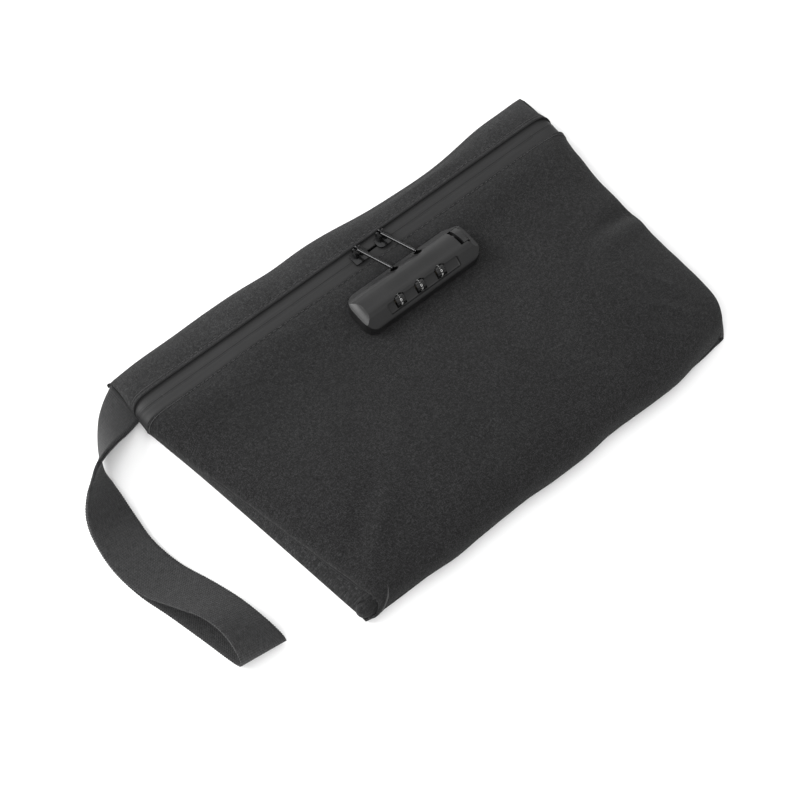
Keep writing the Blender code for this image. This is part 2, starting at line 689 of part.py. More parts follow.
def strap_point(s, t):
    """A point of the webbing's middle surface: s across its width and t along its run."""
    x, y, z, lean, bearing, layer = smooth_curve(strap_path(), t)
    tilt, turn = math.radians(lean), math.radians(bearing)
    width = Vector((math.cos(turn) * math.cos(tilt), math.sin(turn) * math.cos(tilt), math.sin(tilt)))
    face = Vector((-math.cos(turn) * math.sin(tilt), -math.sin(turn) * math.sin(tilt), math.cos(tilt)))
    return Vector((x, y, z)) + face * LAYER_OFFSET * layer + width * (s * STRAP_WIDTH / 2)


def wrist_strap():
    bpy.ops.mesh.primitive_grid_add(x_subdivisions=3, y_subdivisions=80, size=2)
    item = bpy.context.object
    for point in item.data.vertices:
        point.co = strap_point(point.co.x, (1 - point.co.y) / 2) * MM
    modifier = item.modifiers.new("Solidify", "SOLIDIFY")
    modifier.thickness = WEBBING * MM
    modifier.offset = 0.0
    finish(item, "wrist_strap", (0.03, 0.03, 0.032), 0.8)


# ---------------------------------------------------------------- the whole bag


def build():
    front_panel()
    back_panel()
    top_band()
    linings()
    zip_parts()
    lock_cover()
    release_button()
    lock_base()
    lock_backplate()
    lock_screws()
    dials()
    dial_shaft()
    detent_spring()
    latch()
    latch_spring()
    wrist_strap()


build()
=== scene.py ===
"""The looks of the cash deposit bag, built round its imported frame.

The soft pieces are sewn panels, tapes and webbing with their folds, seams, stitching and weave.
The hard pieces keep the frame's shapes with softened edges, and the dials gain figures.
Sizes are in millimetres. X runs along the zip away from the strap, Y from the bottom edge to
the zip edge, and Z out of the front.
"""

import math

import bmesh
import bpy
from mathutils import Matrix, Vector, noise


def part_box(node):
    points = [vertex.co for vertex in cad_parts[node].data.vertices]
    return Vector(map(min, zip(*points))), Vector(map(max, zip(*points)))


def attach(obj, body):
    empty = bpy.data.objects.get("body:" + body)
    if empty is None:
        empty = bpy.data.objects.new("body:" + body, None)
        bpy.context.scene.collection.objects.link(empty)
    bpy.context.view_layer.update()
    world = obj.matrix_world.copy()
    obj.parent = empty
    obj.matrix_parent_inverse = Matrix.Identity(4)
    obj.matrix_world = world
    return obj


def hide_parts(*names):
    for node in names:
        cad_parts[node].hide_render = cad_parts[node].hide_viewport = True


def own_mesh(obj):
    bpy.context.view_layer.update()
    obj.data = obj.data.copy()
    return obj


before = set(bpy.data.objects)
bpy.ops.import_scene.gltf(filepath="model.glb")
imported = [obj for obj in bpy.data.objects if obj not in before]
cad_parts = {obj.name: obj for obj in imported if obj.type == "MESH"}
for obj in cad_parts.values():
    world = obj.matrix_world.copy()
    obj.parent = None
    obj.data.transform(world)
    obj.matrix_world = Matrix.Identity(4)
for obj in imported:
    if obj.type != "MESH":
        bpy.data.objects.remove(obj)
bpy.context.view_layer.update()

MM = 0.001

# Driving sizes, as the frame has them
HALF_LENGTH = 140.0
FABRIC = 0.8
ZIP_Y = 64.0
ZIP_Z = 12.0
ZIP_OUTER_Z = 13.35
BAND_EDGE_Y = ZIP_Y + 6.5
PANEL_EDGE_Y = ZIP_Y - 6.5
BACK_TAPER_LEFT = 20.0
BACK_TAPER_RIGHT = 11.0
CORNER_ROUND = 7.0
EDGE_ROUNDNESS = 38
PLATEAU_Z = 16.2
LOCK_X = 14.0
CHAIN_HALF = 124.0
SEWN_END_HALF = 7.9
CLOSED_WIDTH = 1.9
SLIDER_X = (3.9, 19.7)
STRAP_WIDTH = 25.0
WEBBING = 1.1
LAYER_OFFSET = 0.75

# Finishes
CLOTH_PITCH = 0.42
WEBBING_PITCH = 1.25


# ---------------------------------------------------------------- shared helpers


def box_of(node):
    """A frame node's lowest and highest corners in millimetres."""
    low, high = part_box(node)
    return Vector(low) / MM, Vector(high) / MM


def add_object(name, mesh):
    item = bpy.data.objects.new(name, mesh)
    bpy.context.scene.collection.objects.link(item)
    return item


def smooth_faces(mesh):
    for face in mesh.polygons:
        face.use_smooth = True


def smooth_curve(points, t):
    """A Catmull-Rom curve through the points, at t from 0 to 1."""
    spans = len(points) - 1
    place = min(max(t, 0.0), 1.0) * spans
    i = min(int(place), spans - 1)
    f = place - i
    a, b = points[max(i - 1, 0)], points[i]
    c, d = points[i + 1], points[min(i + 2, spans)]
    return [
        0.5 * (2 * q + (r - p) * f + (2 * p - 5 * q + 4 * r - s) * f * f + (3 * q - p - 3 * r + s) * f**3)
        for p, q, r, s in zip(a, b, c, d)
    ]


def bump_at(x, y, centre, reach, turn=0.0):
    """A soft round or long bump: 1 at its centre, fading over its reach along and across it."""
    dx, dy = x - centre[0], y - centre[1]
    along = dx * math.cos(turn) + dy * math.sin(turn)
    over = -dx * math.sin(turn) + dy * math.cos(turn)
    return math.exp(-((along / reach[0]) ** 2) - (over / reach[1]) ** 2)


def ease(low, high, value):
    """0 below low, 1 above high and smooth between."""
    f = min(max((value - low) / (high - low), 0.0), 1.0)
    return f * f * (3 - 2 * f)


def rolling(x, y, size, seed):
    """Slow cloth unevenness from -1 to 1, in waves of about this size."""
    return noise.noise(Vector((x / size, y / size, seed)))


def cloth_sheet(name, surface, columns, rows, relief, thickness, flip=False):
    """A dense bent grid, moved along its normals by a relief, then thickened inward.

    surface(s, t) gives a point for s from -1 to 1 and t from 0 to 1, and relief(point, s, t) a height.
    The UV map counts millimetres of cloth, so that a weave keeps its size and runs straight.
    """
    mesh = bpy.data.meshes.new(name)
    shape = bmesh.new()
    uv = shape.loops.layers.uv.new("weave")
    grid = []
    for j in range(rows + 1):
        t = j / rows
        grid.append([shape.verts.new(Vector(surface(2 * i / columns - 1, t))) for i in range(columns + 1)])
    middle = columns // 2
    down = [0.0]
    for j in range(1, rows + 1):
        down.append(down[-1] + (grid[j][middle].co - grid[j - 1][middle].co).length)
    for j in range(rows):
        for i in range(columns):
            corners = (grid[j][i], grid[j + 1][i], grid[j + 1][i + 1], grid[j][i + 1])
            places = ((i, j), (i, j + 1), (i + 1, j + 1), (i + 1, j))
            if flip:
                corners, places = corners[::-1], places[::-1]
            face = shape.faces.new(corners)
            face.smooth = True
            for loop, (column, row) in zip(face.loops, places):
                loop[uv].uv = (grid[rows // 2][column].co.x, down[row])
    shape.normal_update()
    moves = []
    for j in range(rows + 1):
        for i in range(columns + 1):
            point = grid[j][i]
            moves.append((point, point.normal * relief(point.co, 2 * i / columns - 1, j / rows)))
    for point, move in moves:
        point.co += move
    for point in shape.verts:
        point.co *= MM
    shape.to_mesh(mesh)
    shape.free()
    item = add_object(name, mesh)
    solid = item.modifiers.new("Thickness", "SOLIDIFY")
    solid.thickness = thickness * MM
    solid.offset = -1.0
    solid.use_even_offset = False
    return item


def tube(name, points, radius, sides=8):
    """A round cord along points in millimetres, as a mesh with capped ends."""
    curve = bpy.data.curves.new(name, "CURVE")
    curve.dimensions = "3D"
    curve.bevel_depth = radius * MM
    curve.bevel_resolution = max(1, sides // 4)
    curve.use_fill_caps = True
    spline = curve.splines.new("POLY")
    spline.points.add(len(points) - 1)
    for place, point in zip(spline.points, points):
        place.co = (*(Vector(point) * MM), 1)
    drawn = add_object(name + "-line", curve)
    bpy.context.view_layer.update()
    graph = bpy.context.evaluated_depsgraph_get()
    mesh = bpy.data.meshes.new_from_object(drawn.evaluated_get(graph))
    bpy.data.objects.remove(drawn, do_unlink=True)
    mesh.name = name
    smooth_faces(mesh)
    return add_object(name, mesh)


def softened(node, width, segments=2, angle=32.0):
    """A copy of a hard frame node with its flat faces joined up and its edges rounded off."""
    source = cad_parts[node]
    mesh = source.data.copy()
    mesh.name = node + "-soft"
    shape = bmesh.new()
    shape.from_mesh(mesh)
    bmesh.ops.remove_doubles(shape, verts=shape.verts, dist=0.002 * MM)
    bmesh.ops.dissolve_limit(
        shape, angle_limit=math.radians(1.0), use_dissolve_boundaries=False,
        verts=shape.verts, edges=shape.edges,
    )
    shape.to_mesh(mesh)
    shape.free()
    smooth_faces(mesh)
    item = add_object(node + "-soft", mesh)
    round_off = item.modifiers.new("Round", "BEVEL")
    round_off.width = width * MM
    round_off.segments = segments
    round_off.limit_method = "ANGLE"
    round_off.angle_limit = math.radians(angle)
    round_off.harden_normals = True
    mesh.set_sharp_from_angle(angle=math.radians(angle))
    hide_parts(node)
    return item


def wear(item, material, body):
    """Give a piece its material and the body that it rides on."""
    item.data.materials.clear()
    item.data.materials.append(material)
    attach(item, body)
    return item


# ---------------------------------------------------------------- materials


class Nodes:
    """A short way to write a material's node tree."""

    def __init__(self, name, colour, roughness):
        self.material = bpy.data.materials.new(name)
        self.material.use_nodes = True
        self.tree = self.material.node_tree
        self.shader = self.tree.nodes["Principled BSDF"]
        self.shader.inputs["Base Color"].default_value = (*colour, 1.0)
        self.shader.inputs["Roughness"].default_value = roughness

    def add(self, kind, **inputs):
        node = self.tree.nodes.new(kind)
        for key, value in inputs.items():
            self.feed(node, key.replace("_", " "), value)
        return node

    def feed(self, node, key, value):
        socket = node.inputs[int(key[1:])] if key[0] == "i" and key[1:].isdigit() else node.inputs[key]
        if isinstance(value, bpy.types.NodeSocket):
            self.tree.links.new(value, socket)
        else:
            socket.default_value = value

    def math(self, operation, first, second=None):
        node = self.tree.nodes.new("ShaderNodeMath")
        node.operation = operation
        self.feed(node, "i0", first)
        if second is not None:
            self.feed(node, "i1", second)
        return node.outputs[0]

    def place(self, map_name=None):
        """Millimetres of cloth from the named map, or millimetres in space."""
        if map_name:
            node = self.tree.nodes.new("ShaderNodeUVMap")
            node.uv_map = map_name
            return node.outputs["UV"]
        node = self.tree.nodes.new("ShaderNodeTexCoord")
        scale = self.add("ShaderNodeVectorMath")
        scale.operation = "SCALE"
        self.tree.links.new(node.outputs["Object"], scale.inputs[0])
        scale.inputs["Scale"].default_value = 1 / MM
        return scale.outputs[0]

    def split(self, vector):
        node = self.add("ShaderNodeSeparateXYZ", Vector=vector)
        return node.outputs["X"], node.outputs["Y"]

    def noise(self, vector, scale, detail=3.0, rough=0.5):
        node = self.add("ShaderNodeTexNoise", Vector=vector, Scale=scale, Detail=detail, Roughness=rough)
        return node.outputs["Fac"]

    def combine(self, x, y):
        return self.add("ShaderNodeCombineXYZ", X=x, Y=y).outputs[0]

    def ramp(self, value, stops):
        """Colours along a value: stops are (place, linear colour)."""
        node = self.tree.nodes.new("ShaderNodeValToRGB")
        self.feed(node, "Fac", value)
        elements = node.color_ramp.elements
        while len(elements) < len(stops):
            elements.new(0.5)
        for element, (place, colour) in zip(elements, stops):
            element.position = place
            element.color = (*colour, 1.0)
        return node.outputs["Color"]

    def range(self, value, from_low, from_high, low, high):
        node = self.add(
            "ShaderNodeMapRange", Value=value, From_Min=from_low, From_Max=from_high,
            To_Min=low, To_Max=high,
        )
        return node.outputs["Result"]

    def bump(self, height, distance, strength=1.0):
        node = self.add("ShaderNodeBump", Height=height, Distance=distance * MM, Strength=strength)
        self.tree.links.new(node.outputs["Normal"], self.shader.inputs["Normal"])

    def set(self, **inputs):
        for key, value in inputs.items():
            self.feed(self.shader, key.replace("_", " "), value)
        return self.material


def grey(value):
    return (value, value, value * 1.02)


def woven_cloth(name, tone, pitch=CLOTH_PITCH, sheen=0.06):
    """A heathered plain weave: each thread has its own tone, and slubs run along it."""
    n = Nodes(name, grey(tone), 0.95)
    across_mm, along_mm = n.split(n.place("weave"))
    u, v = n.math("DIVIDE", across_mm, pitch), n.math("DIVIDE", along_mm, pitch)
    column, row = n.math("FLOOR", u), n.math("FLOOR", v)
    over = n.math("MODULO", n.math("ADD", n.math("ADD", column, row), 1000.0), 2.0)
    warp = n.noise(n.combine(n.math("MULTIPLY", column, 1.7), n.math("MULTIPLY", v, 0.22)), 1.0, 2.0, 0.8)
    weft = n.noise(n.combine(n.math("MULTIPLY", u, 0.22), n.math("MULTIPLY", row, 1.7)), 1.0, 2.0, 0.8)
    thread = n.add("ShaderNodeMix", Factor=over)
    n.feed(thread, "A", warp)
    n.feed(thread, "B", weft)
    patches = n.noise(n.place("weave"), 0.03, 4.0, 0.55)
    patchy = n.math("MULTIPLY", n.math("SUBTRACT", patches, 0.5), 0.1)
    mixed = n.math("ADD", thread.outputs["Result"], patchy)
    colour = n.ramp(mixed, [(0.3, grey(tone * 0.35)), (0.5, grey(tone * 0.9)), (0.7, grey(tone * 2.4))])
    n.feed(n.shader, "Base Color", colour)
    n.feed(n.shader, "Roughness", n.range(thread.outputs["Result"], 0.3, 0.7, 1.0, 0.86))
    crown_u = n.math("ABSOLUTE", n.math("SINE", n.math("MULTIPLY", u, math.pi)))
    crown_v = n.math("ABSOLUTE", n.math("SINE", n.math("MULTIPLY", v, math.pi)))
    crown = n.math("MULTIPLY", crown_u, crown_v)
    height = n.math("ADD", crown, n.math("MULTIPLY", thread.outputs["Result"], 0.6))
    n.bump(height, 0.16, 0.7)
    return n.set(Sheen_Weight=sheen, Sheen_Roughness=0.5, Specular_IOR_Level=0.1)


def coated_tape(name, tone):
    """Water-repellent zip tape: a smooth matt film over the weave, crazed along the coil."""
    n = Nodes(name, grey(tone), 0.5)
    place = n.place("weave")
    across_mm, along_mm = n.split(place)
    fine = n.noise(place, 1.6, 3.0, 0.6)
    streak = n.noise(n.combine(n.math("MULTIPLY", across_mm, 0.05), n.math("MULTIPLY", along_mm, 1.2)), 1.0)
    tone_place = n.math("ADD", n.math("MULTIPLY", fine, 0.4), n.math("MULTIPLY", streak, 0.6))
    n.feed(n.shader, "Base Color", n.ramp(tone_place, [(0.3, grey(tone * 0.75)), (0.7, grey(tone * 1.3))]))
    n.feed(n.shader, "Roughness", n.range(fine, 0.3, 0.7, 0.55, 0.7))
    rib = n.math("SINE", n.math("MULTIPLY", across_mm, 2 * math.pi / 1.1))
    n.bump(n.math("ADD", n.math("MULTIPLY", rib, 0.3), fine), 0.06, 0.6)
    return n.set(Specular_IOR_Level=0.33)


def ribbed_webbing(name, tone):
    """Woven webbing: fine ribs along its run, crossed by the picks of its weave."""
    n = Nodes(name, grey(tone), 0.75)
    across_mm, along_mm = n.split(n.place("weave"))
    picks = n.math("SINE", n.math("MULTIPLY", along_mm, 2 * math.pi / WEBBING_PITCH))
    ribs = n.math("SINE", n.math("MULTIPLY", across_mm, 2 * math.pi / 1.04))
    crossing = n.math("MULTIPLY", picks, ribs)
    yarn_place = n.combine(n.math("MULTIPLY", across_mm, 2.0), n.math("MULTIPLY", along_mm, 0.35))
    yarn = n.noise(yarn_place, 1.0, 2.0, 0.6)
    value = n.math("ADD", n.math("MULTIPLY", crossing, 0.12), yarn)
    colour = n.ramp(value, [(0.3, grey(tone * 0.6)), (0.5, grey(tone)), (0.7, grey(tone * 1.5))])
    n.feed(n.shader, "Base Color", colour)
    n.feed(n.shader, "Roughness", n.range(yarn, 0.3, 0.7, 0.8, 0.66))
    height = n.math("ADD", crossing, n.math("MULTIPLY", picks, 0.5))
    n.bump(height, 0.16, 0.8)
    return n.set(Sheen_Weight=0.05, Sheen_Roughness=0.45, Specular_IOR_Level=0.2)


def thread_material(name, tone):
    n = Nodes(name, grey(tone), 0.6)
    twist = n.noise(n.place(), 5.0, 2.0, 0.6)
    n.feed(n.shader, "Base Color", n.ramp(twist, [(0.3, grey(tone * 0.7)), (0.7, grey(tone * 1.4))]))
    n.bump(twist, 0.05, 0.6)
    return n.set(Sheen_Weight=0.15)


def moulded_plastic(name, tone, roughness, grain=0.02):
    """Satin moulded plastic with a fine eggshell grain and faint rubbed patches."""
    n = Nodes(name, grey(tone), roughness)
    place = n.place()
    fine = n.noise(place, 2.2, 3.0, 0.6)
    rubbed = n.noise(place, 0.09, 3.0, 0.5)
    n.feed(n.shader, "Base Color", n.ramp(rubbed, [(0.3, grey(tone * 0.86)), (0.7, grey(tone * 1.15))]))
    both = n.math("ADD", n.math("MULTIPLY", fine, 0.5), n.math("MULTIPLY", rubbed, 0.5))
    n.feed(n.shader, "Roughness", n.range(both, 0.3, 0.7, roughness - 0.05, roughness + 0.07))
    n.bump(fine, grain, 0.5)
    return n.set(Specular_IOR_Level=0.38)


def black_plated(name, tone, roughness):
    """Black nickel plating: dark, glossy, with hairline scuffs."""
    n = Nodes(name, grey(tone), roughness)
    place = n.place()
    scuffs = n.noise(place, 0.8, 4.0, 0.65)
    n.feed(n.shader, "Base Color", n.ramp(scuffs, [(0.3, grey(tone * 0.8)), (0.75, grey(tone * 1.5))]))
    n.feed(n.shader, "Roughness", n.range(scuffs, 0.3, 0.7, roughness - 0.05, roughness + 0.1))
    n.bump(n.noise(place, 2.5), 0.015, 0.4)
    return n.set(Metallic=1.0, Coat_Weight=0.12, Coat_Roughness=0.1)


def bare_metal(name, colour, roughness):
    """Drawn or stamped metal with fine marks along it."""
    n = Nodes(name, colour, roughness)
    place = n.place()
    x_mm, y_mm = n.split(place)
    marks = n.noise(n.combine(n.math("MULTIPLY", x_mm, 0.4), n.math("MULTIPLY", y_mm, 6.0)), 1.0)
    n.feed(n.shader, "Roughness", n.range(marks, 0.3, 0.7, roughness - 0.07, roughness + 0.1))
    n.bump(marks, 0.01, 0.4)
    return n.set(Metallic=1.0)


def figure_paint(name):
    n = Nodes(name, (0.5, 0.5, 0.49), 0.5)
    chips = n.noise(n.place(), 3.0, 2.0)
    n.feed(n.shader, "Base Color", n.ramp(chips, [(0.3, (0.4, 0.4, 0.39)), (0.6, (0.6, 0.6, 0.59))]))
    return n.material


def floor_material():
    n = Nodes("studio_floor", (0.93, 0.93, 0.93), 0.9)
    n.feed(n.shader, "Roughness", n.range(n.noise(n.place(), 0.01), 0.3, 0.7, 0.85, 0.95))
    return n.material


CLOTH_FRONT = woven_cloth("cloth_front", 0.0135)
# The band is the front's cloth with a lighter tone: painted light for the lamp falling on the band's slope.
CLOTH_BAND_PAINTED_LIGHTER = woven_cloth("cloth_band_painted_lighter", 0.0185)
CLOTH_BACK = woven_cloth("cloth_back", 0.0165)
LINING = woven_cloth("lining_weave", 0.02, pitch=0.4, sheen=0.1)
TAPE_FILM = coated_tape("coated_tape", 0.012)
WEBBING_WEAVE = ribbed_webbing("webbing_weave", 0.024)
THREAD = thread_material("sewing_thread", 0.012)
COIL = moulded_plastic("coil_nylon", 0.02, 0.45)
LOCK_PLASTIC = moulded_plastic("lock_plastic", 0.008, 0.42)
DIAL_PLASTIC = moulded_plastic("dial_plastic", 0.006, 0.3)
PLATED = black_plated("black_nickel", 0.024, 0.24)
STEEL = bare_metal("bright_steel", (0.55, 0.55, 0.56), 0.3)
BRASS = bare_metal("blackened_brass", (0.05, 0.042, 0.03), 0.36)
FIGURE = figure_paint("figure_white")


# ---------------------------------------------------------------- the sewn bag


def top_wave(x):
    """How far the soft top edge wanders along Y: drawn in beside the lock, full beside the strap."""
    return -5.5 * math.exp(-(((x - 58) / 42) ** 2)) + 1.5 * math.exp(-(((x + 80) / 40) ** 2))


def across(s, left, right, centre, roundness):
    """A point across the bag: level in the middle, rolling down to the side seams."""
    u = math.sin(s * math.pi / 2)
    lift = math.sqrt(max(0.0, 1 - abs(u) ** roundness))
    x = left[0] + (right[0] - left[0]) * (u + 1) / 2
    side = left if s < 0 else right
    return x, side[1] + (centre[0] - side[1]) * lift, side[2] + (centre[1] - side[2]) * lift


# Centre line of the front panel as (y, z), and its two side seams as (x, y, z), top to bottom
FRONT_CENTRE = [
    (PANEL_EDGE_Y, ZIP_OUTER_Z), (47, PLATEAU_Z), (19, PLATEAU_Z), (-35, 23.5), (-72, 23.0),
    (-89, 16.5), (-94.5, 8.5), (-92, 3.2),
]
FRONT_LEFT = [
    (-140, 55, 5.6), (-137, 40, 6.4), (-131, 14, 8), (-120, -36, 9.6), (-112, -74, 11),
    (-108, -87, 11.5), (-111, -92.5, 7.5), (-117, -90.8, 3.2),
]
FRONT_RIGHT = [
    (140, 55, 5.6), (137, 38, 6.4), (134, 12, 8), (133, -38, 9.6), (132, -66, 11),
    (128, -79, 11.5), (122.5, -86, 8), (119.5, -88, 3.2),
]
# The same three lines of the top band, from the zip over the top edge and down to the back
BAND_CENTRE = [
    (BAND_EDGE_Y, ZIP_OUTER_Z), (77, 12.6), (84, 10.2), (89.5, 6.4), (91.5, 3.2), (89.6, 0.5),
    (84, 0), (79, 0),
]
BAND_SIDE = [(66.5, 6.2), (73, 6.1), (81, 5.6), (87.5, 4.8), (91, 3.0), (89.5, 0.5), (84, 0), (79, 0)]


def front_surface(s, t):
    """The outer face of the front panel, from the zip (t = 0) round the bottom edge (t = 1)."""
    roundness = 4 + 34 * (1 - t) ** 6
    left, right = smooth_curve(FRONT_LEFT, t), smooth_curve(FRONT_RIGHT, t)
    return across(s, left, right, smooth_curve(FRONT_CENTRE, t), roundness)


def band_surface(s, t):
    """The outer face of the top band, from the zip (t = 0) round the top edge to the back."""
    y, z = smooth_curve(BAND_SIDE, t)
    half = HALF_LENGTH - 1.4 * math.sin(math.pi * min(t / 0.6, 1.0))
    x, y, z = across(s, (-half, y, z), (half, y, z), smooth_curve(BAND_CENTRE, t), EDGE_ROUNDNESS)
    return x, y + top_wave(x) * min(max((y - 79) / 9, 0.0), 1.0), max(z, 0.0)


def seam_height(side, y):
    """The side seam's x and z at a given y."""
    low, high = 0.0, 1.0
    for _ in range(24):
        middle = (low + high) / 2
        if smooth_curve(side, middle)[1] > y:
            low = middle
        else:
            high = middle
    x, _, z = smooth_curve(side, low)
    return x, z


def back_surface(s, t):
    """The outer face of the back panel: flat, with its sides rolled up to the side seams."""
    top, bottom = 78.6, front_surface(s, 1.0)[1] + 0.4
    side = FRONT_LEFT if s < 0 else FRONT_RIGHT
    y = top + (bottom - top) * t
    drop = min(max((side[0][1] - y) / (side[0][1] - side[-1][1]), 0.0), 1.0)
    seam_x, seam_z = seam_height(side, y)
    floor_x = math.copysign(HALF_LENGTH - (BACK_TAPER_LEFT if s < 0 else BACK_TAPER_RIGHT) * drop, s)
    floor_x -= math.copysign(CORNER_ROUND * max(0.0, (-78 - y) / 14.5) ** 2, s) * (s > 0)
    flat_share = 0.8
    u = abs(s)
    near = floor_x - math.copysign(5.0, s)
    if u <= flat_share:
        return near * u / flat_share, y, 0.0
    f = (u - flat_share) / (1 - flat_share)
    x = near * (1 - f) ** 2 + 2 * (floor_x + math.copysign(2.0 * drop, s)) * f * (1 - f) + seam_x * f * f
    return x, y, (seam_z - 0.6) * f * f


# The boxed corner's seam, from the floor up to the front
CORNER_SEAM = (Vector((-117, -91, 3)), Vector((-101, -88, 19)))


def distance_to_seam(point):
    """How far a point lies from the boxed corner's seam."""
    start, end = CORNER_SEAM
    run = end - start
    f = min(max((point - start).dot(run) / run.length_squared, 0.0), 1.0)
    return (point - start - run * f).length


def front_relief(point, s, t):
    """The front panel's folds: taut over the lock, easy towards the seams and corners."""
    x, y = point.x, point.y
    loose = 1 - bump_at(x, y, (LOCK_X, 32), (48, 24))
    hem = 0.35 * (1 - ease(0.02, 0.035, t))
    edge = ease(0.55, 1.0, abs(s))
    height = 0.55 * rolling(x, y, 34, 1.3) * loose + 0.28 * rolling(x, y, 13, 4.1) * loose * (0.35 + edge)
    # A crease from the boxed corner up towards the middle, with its valley beside it
    height += 1.5 * bump_at(x, y, (-86, -64), (26, 5.0), math.radians(38))
    height -= 1.2 * bump_at(x, y, (-91, -54), (22, 5.5), math.radians(38))
    # A dent running in from the right edge, and the soft rise below it
    seamward = 1 - ease(0.86, 0.97, abs(s))
    height -= 2.4 * seamward * bump_at(x, y, (122, -5), (17, 5), math.radians(4))
    height += 1.2 * bump_at(x, y, (117, -15), (22, 6), math.radians(10))
    # Small folds gathered into the right bottom corner
    for centre, turn in (((104, -64), 130), ((112, -52), 118), ((94, -74), 142)):
        height += 0.8 * bump_at(x, y, centre, (16, 3.2), math.radians(turn))
    # Easy waves along the thick bottom edge, where the bag is turned
    waves = ease(0.62, 0.85, t) * (1 - ease(0.95, 1.0, t))
    height += waves * (0.7 * math.sin(x / 11 + 0.7 * math.sin(y / 9)) + 0.6 * rolling(x, y, 19, 8.8))
    seam = distance_to_seam(point)
    height += 1.1 * math.exp(-((seam / 5) ** 2)) - 1.6 * math.exp(-((seam / 1.2) ** 2))
    return min(height, 2.2) + hem


def band_relief(point, s, t):
    """The band's easy waves, dying out at its hem and where it meets the back."""
    x = point.x
    free = ease(0.02, 0.2, t) * (1 - ease(0.55, 0.75, t))
    height = free * (0.5 * rolling(x, point.y, 24, 2.2) + 0.25 * math.sin(x / 8.5 + point.y / 6))
    hem = 0.3 * (1 - ease(0.02, 0.05, t))
    return height + hem


def back_relief(point, s, t):
    """The back panel rests on the floor, so it only draws in, never out."""
    lift = 0.5 + 0.5 * rolling(point.x, point.y, 40, 6.6)
    quilt = 0.3 + 0.3 * rolling(point.x, point.y, 15, 3.3)
    return -(0.5 * lift + 0.25 * quilt) * (1 - ease(0.72, 0.86, abs(s)))


def sewn_panels():
    front = cloth_sheet("front_cloth", front_surface, 300, 230, front_relief, FABRIC)
    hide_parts("front_panel")
    wear(front, CLOTH_FRONT, "bag")
    band = cloth_sheet("band_cloth", band_surface, 300, 90, band_relief, FABRIC, flip=True)
    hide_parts("top_band")
    # The band wears the front's cloth painted lighter, as painted light on its slope.
    wear(band, CLOTH_BAND_PAINTED_LIGHTER, "bag")
    back = cloth_sheet("back_cloth", back_surface, 200, 120, back_relief, FABRIC, flip=True)
    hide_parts("back_panel")
    wear(back, CLOTH_BACK, "bag")


def lining():
    """The front lining hangs just inside the front cloth and shares its folds."""
    depth = FABRIC + 0.5

    def over(s, t):
        """The front panel's s and t over a place on the lining, which stops short of its seams."""
        return s * 0.9, 0.12 + 0.66 * t

    def surface(s, t):
        return front_surface(*over(s, t))

    def relief(point, s, t):
        return front_relief(point, *over(s, t)) - depth

    cloth = cloth_sheet("lining_cloth", surface, 150, 110, relief, 0.3)
    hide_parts("lining_front")
    wear(cloth, LINING, "bag")


def stitch_row(name, line, count, length, lift):
    """A row of short sunken stitches along a line: line(f) gives a point and the way out of the cloth."""
    shape = bmesh.new()
    for k in range(count):
        here, out = line((k + 0.5) / count)
        ahead, _ = line(min((k + 0.5) / count + 0.002, 1.0))
        run = (Vector(ahead) - Vector(here)).normalized()
        out = Vector(out).normalized()
        side = out.cross(run).normalized()
        turn = Matrix((run, side, out)).transposed().to_4x4()
        spot = Matrix.Translation((Vector(here) + out * lift) * MM) @ turn
        size = Matrix.Diagonal((length / 2 * MM, 0.2 * MM, 0.16 * MM, 1.0))
        bmesh.ops.create_icosphere(shape, subdivisions=1, radius=1.0, matrix=spot @ size)
    mesh = bpy.data.meshes.new(name)
    shape.to_mesh(mesh)
    shape.free()
    smooth_faces(mesh)
    return wear(add_object(name, mesh), THREAD, "bag")


def surface_line(surface, relief, t, reach, outward):
    """A line across a panel at one t, with the surface's outward direction.

    outward is 1 where t runs away from the zip towards -Y and -1 where it runs towards +Y.
    """
    def line(f):
        s = (2 * f - 1) * reach
        here = Vector(surface(s, t))
        along = Vector(surface(s + 0.002, t)) - here
        down = Vector(surface(s, t + 0.004)) - here
        out = down.cross(along).normalized() * outward
        return here + out * relief(here, s, t), out
    return line


def stitching():
    for name, surface, relief, t, outward in (
        ("front_topstitch", front_surface, front_relief, 0.028, 1),
        ("band_topstitch", band_surface, band_relief, 0.06, -1),
    ):
        stitch_row(name, surface_line(surface, relief, t, 0.985, outward), 112, 2.0, 0.05)


def seam_line(side, first, last, count):
    return [Vector(smooth_curve(side, first + (last - first) * i / count)) for i in range(count + 1)]


def side_seams():
    """The turned side seams: a rounded welt where the front meets the back."""
    for name, side, inward in (("left", FRONT_LEFT, 1), ("right", FRONT_RIGHT, -1)):
        band = [Vector((-inward * 139.7, y, z)) for y, z in BAND_SIDE[4::-1]]
        tuck = Vector((0.4 * inward, 0, -0.75))
        points = [point + tuck for point in band + seam_line(side, 0.0, 1.0, 90)]
        welt = tube(f"seam_{name}", points, 0.75, 12)
        wear(welt, CLOTH_BACK, "bag")


def bottom_seam():
    """The turned seam under the bottom edge, between the front and the back."""
    points = []
    for i in range(121):
        x, y, _ = front_surface(2 * i / 120 - 1, 1.0)
        points.append((x * 0.998, y + 0.9, 1.75))
    wear(tube("seam_bottom", points, 1.35, 12), CLOTH_BACK, "bag")


def nearest_place(target):
    """The s and t on the front panel nearest to a point in the left bottom corner."""
    places = [(-1 + 0.4 * i / 60, 0.55 + 0.45 * j / 60) for i in range(61) for j in range(61)]
    return min(places, key=lambda place: (Vector(front_surface(*place)) - target).length)


def corner_seam():
    """The short seam that boxes the left bottom corner, lying in its groove."""
    first, last = (Vector(nearest_place(end)) for end in CORNER_SEAM)
    points = []
    for i in range(25):
        s, t = first.lerp(last, i / 24)
        points.append(Vector(front_surface(s, t)))
    wear(tube("seam_corner", points, 0.42, 8), THREAD, "bag")


